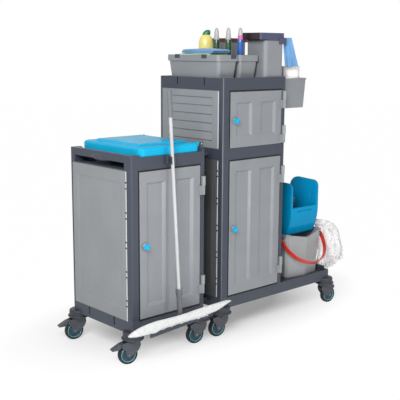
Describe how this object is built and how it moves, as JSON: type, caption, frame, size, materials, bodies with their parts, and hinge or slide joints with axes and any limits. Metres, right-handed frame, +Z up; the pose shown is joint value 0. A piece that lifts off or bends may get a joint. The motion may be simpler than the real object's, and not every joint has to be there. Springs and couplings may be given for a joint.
{
  "type": "janitor cart",
  "caption": "Modular cleaning cart with a lidded bag cabinet, a tall cabinet with doors and a top tray, and a platform with a mop bucket and wringer on swivel casters.",
  "frame": {"origin": "centre of the cart's footprint box on the floor", "axes": "+X along the cart towards the bucket platform, +Y towards the back, +Z up; the doors face -Y"},
  "size_m": [1.9693, 0.7397, 1.803],
  "materials": {
    "frame_plastic": "moulded satin grain",
    "panel_plastic": "moulded satin grain",
    "blue_plastic": "moulded semi-gloss",
    "navy_plastic": "moulded semi-gloss",
    "red_plastic": "moulded semi-gloss",
    "steel": "drawn, bright",
    "caster_plastic": "moulded satin",
    "wheel": "rubber tyre on a moulded hub",
    "pole_aluminium": "white painted tube with a grey grip",
    "mop_cloth": "looped microfibre",
    "blue_cloth": "woven cloth",
    "yarn": "cotton yarn",
    "paper": "crepe paper",
    "bottle": "thin blown plastic with liquid",
    "grey_plastic": "moulded satin"
  },
  "bodies": {
    "cart": {"low_base": "frame_plastic", "long_base": "frame_plastic", "link_bars": "frame_plastic", "low_posts": "frame_plastic", "tall_posts": "frame_plastic", "low_top_frame": "frame_plastic", "mid_frame": "frame_plastic", "top_tray": "frame_plastic", "side_panels": "panel_plastic", "louvre_panels": "panel_plastic", "back_panels": "panel_plastic", "hinge_brackets": "panel_plastic", "hinge_pins": "steel", "bumpers": "frame_plastic", "pole_clip": "frame_plastic", "bag_hoop": "steel", "tray_bins": "panel_plastic", "pails": "panel_plastic", "pail_lid": "navy_plastic", "side_bin": "panel_plastic", "paper_roll": "paper", "bottles": "bottle", "folded_cloths": "blue_cloth", "hanging_cloth": "blue_cloth", "mop_bucket": "panel_plastic", "wringer": "blue_plastic", "string_mop": "yarn"},
    "caster_1": {"fork_1": "caster_plastic"},
    "roller_1": {"wheel_1": "wheel"},
    "brake_1": {"pedal_1": "caster_plastic"},
    "caster_2": {"fork_2": "caster_plastic"},
    "roller_2": {"wheel_2": "wheel"},
    "brake_2": {"pedal_2": "caster_plastic"},
    "caster_3": {"fork_3": "caster_plastic"},
    "roller_3": {"wheel_3": "wheel"},
    "caster_4": {"fork_4": "caster_plastic"},
    "roller_4": {"wheel_4": "wheel"},
    "caster_5": {"fork_5": "caster_plastic"},
    "roller_5": {"wheel_5": "wheel"},
    "caster_6": {"fork_6": "caster_plastic"},
    "roller_6": {"wheel_6": "wheel"},
    "caster_7": {"fork_7": "caster_plastic"},
    "roller_7": {"wheel_7": "wheel"},
    "caster_8": {"fork_8": "caster_plastic"},
    "roller_8": {"wheel_8": "wheel"},
    "low_door": {"low_door": "panel_plastic"},
    "low_knob": {"low_knob": "blue_plastic"},
    "lower_door": {"lower_door": "panel_plastic"},
    "lower_knob": {"lower_knob": "blue_plastic"},
    "upper_door": {"upper_door": "panel_plastic"},
    "upper_knob": {"upper_knob": "blue_plastic"},
    "lid": {"lid": "blue_plastic"},
    "bail": {"bail": "red_plastic"},
    "lever": {"wringer_lever": "grey_plastic"},
    "press": {"press_plate": "grey_plastic"},
    "mop": {"mop_pole": "pole_aluminium"},
    "mop_head": {"mop_head_frame": "frame_plastic", "mop_pad": "mop_cloth"}
  },
  "joints": [
    {"name": "swivel_1", "type": "hinge", "parent": "cart", "child": "caster_1", "pos_m": [-0.846, -0.208, 0.136], "axis": [0, 0, 1], "continuous": true},
    {"name": "roll_1", "type": "hinge", "parent": "caster_1", "child": "roller_1", "pos_m": [-0.87608, -0.2005, 0.055], "axis": [-0.2419, -0.9703, 0], "continuous": true},
    {"name": "brake_1_press", "type": "hinge", "parent": "caster_1", "child": "brake_1", "pos_m": [-0.90713, -0.19276, 0.113], "axis": [-0.2419, -0.9703, 0], "range_deg": [0, 15]},
    {"name": "swivel_2", "type": "hinge", "parent": "cart", "child": "caster_2", "pos_m": [-0.846, 0.307, 0.136], "axis": [0, 0, 1], "continuous": true},
    {"name": "roll_2", "type": "hinge", "parent": "caster_2", "child": "roller_2", "pos_m": [-0.87608, 0.3145, 0.055], "axis": [-0.2419, -0.9703, 0], "continuous": true},
    {"name": "brake_2_press", "type": "hinge", "parent": "caster_2", "child": "brake_2", "pos_m": [-0.90713, 0.32224, 0.113], "axis": [-0.2419, -0.9703, 0], "range_deg": [0, 15]},
    {"name": "swivel_3", "type": "hinge", "parent": "cart", "child": "caster_3", "pos_m": [-0.361, -0.208, 0.136], "axis": [0, 0, 1], "continuous": true},
    {"name": "roll_3", "type": "hinge", "parent": "caster_3", "child": "roller_3", "pos_m": [-0.39153, -0.20262, 0.055], "axis": [-0.1736, -0.9848, 0], "continuous": true},
    {"name": "swivel_4", "type": "hinge", "parent": "cart", "child": "caster_4", "pos_m": [-0.361, 0.307, 0.136], "axis": [0, 0, 1], "continuous": true},
    {"name": "roll_4", "type": "hinge", "parent": "caster_4", "child": "roller_4", "pos_m": [-0.35298, 0.27706, 0.055], "axis": [0.9659, 0.2588, 0], "continuous": true},
    {"name": "swivel_5", "type": "hinge", "parent": "cart", "child": "caster_5", "pos_m": [-0.186, -0.208, 0.136], "axis": [0, 0, 1], "continuous": true},
    {"name": "roll_5", "type": "hinge", "parent": "caster_5", "child": "roller_5", "pos_m": [-0.2167, -0.20369, 0.055], "axis": [-0.1392, -0.9903, 0], "continuous": true},
    {"name": "swivel_6", "type": "hinge", "parent": "cart", "child": "caster_6", "pos_m": [-0.186, 0.307, 0.136], "axis": [0, 0, 1], "continuous": true},
    {"name": "roll_6", "type": "hinge", "parent": "caster_6", "child": "roller_6", "pos_m": [-0.19402, 0.27706, 0.055], "axis": [0.9659, -0.2588, 0], "continuous": true},
    {"name": "swivel_7", "type": "hinge", "parent": "cart", "child": "caster_7", "pos_m": [0.776, -0.208, 0.136], "axis": [0, 0, 1], "continuous": true},
    {"name": "roll_7", "type": "hinge", "parent": "caster_7", "child": "roller_7", "pos_m": [0.8067, -0.21231, 0.055], "axis": [0.1392, 0.9903, 0], "continuous": true},
    {"name": "swivel_8", "type": "hinge", "parent": "cart", "child": "caster_8", "pos_m": [0.776, 0.307, 0.136], "axis": [0, 0, 1], "continuous": true},
    {"name": "roll_8", "type": "hinge", "parent": "caster_8", "child": "roller_8", "pos_m": [0.77062, 0.27647, 0.055], "axis": [0.9848, -0.1736, 0], "continuous": true},
    {"name": "low_door_swing", "type": "hinge", "parent": "cart", "child": "low_door", "pos_m": [-0.361, -0.2375, 0.64], "axis": [0, 0, 1], "range_deg": [0, 105]},
    {"name": "low_knob_turn", "type": "hinge", "parent": "low_door", "child": "low_knob", "pos_m": [-0.772, -0.228, 0.638], "axis": [0, -1, 0], "range_deg": [0, 90]},
    {"name": "lower_door_swing", "type": "hinge", "parent": "cart", "child": "lower_door", "pos_m": [0.299, -0.2375, 0.64], "axis": [0, 0, 1], "range_deg": [0, 105]},
    {"name": "lower_knob_turn", "type": "hinge", "parent": "lower_door", "child": "lower_knob", "pos_m": [-0.112, -0.228, 0.638], "axis": [0, -1, 0], "range_deg": [0, 90]},
    {"name": "upper_door_swing", "type": "hinge", "parent": "cart", "child": "upper_door", "pos_m": [0.299, -0.2375, 1.276], "axis": [0, 0, 1], "range_deg": [0, 105]},
    {"name": "upper_knob_turn", "type": "hinge", "parent": "upper_door", "child": "upper_knob", "pos_m": [-0.112, -0.228, 1.272], "axis": [0, -1, 0], "range_deg": [0, 90]},
    {"name": "lid_lift", "type": "hinge", "parent": "cart", "child": "lid", "pos_m": [-0.353, 0.0495, 1.157], "axis": [0, 1, 0], "range_deg": [0, 100]},
    {"name": "bail_swing", "type": "hinge", "parent": "cart", "child": "bail", "pos_m": [0.604, -0.141, 0.4673], "axis": [-1, 0, 0], "range_deg": [-15, 105]},
    {"name": "lever_pull", "type": "hinge", "parent": "cart", "child": "lever", "pos_m": [0.472, -0.044, 0.6853], "axis": [1, 0, 0], "range_deg": [0, 60]},
    {"name": "press_slide", "type": "slide", "parent": "cart", "child": "press", "axis": [0, -1, 0], "range_m": [0, 0.13]},
    {"name": "mop_pull", "type": "slide", "parent": "cart", "child": "mop", "axis": [0, -1, 0], "range_m": [0, 0.8]},
    {"name": "mop_head_tilt", "type": "hinge", "parent": "mop", "child": "mop_head", "pos_m": [-0.6115, -0.32788, 0.2424], "axis": [1, 0, 0], "range_deg": [0, 90]}
  ],
  "couplings": [
    {"joint": "press_slide", "follows": "lever_pull", "m_per_rad": 0.12},
    {"joint": "mop_pull", "follows": "low_door_swing", "m_per_rad": 0.42}
  ]
}
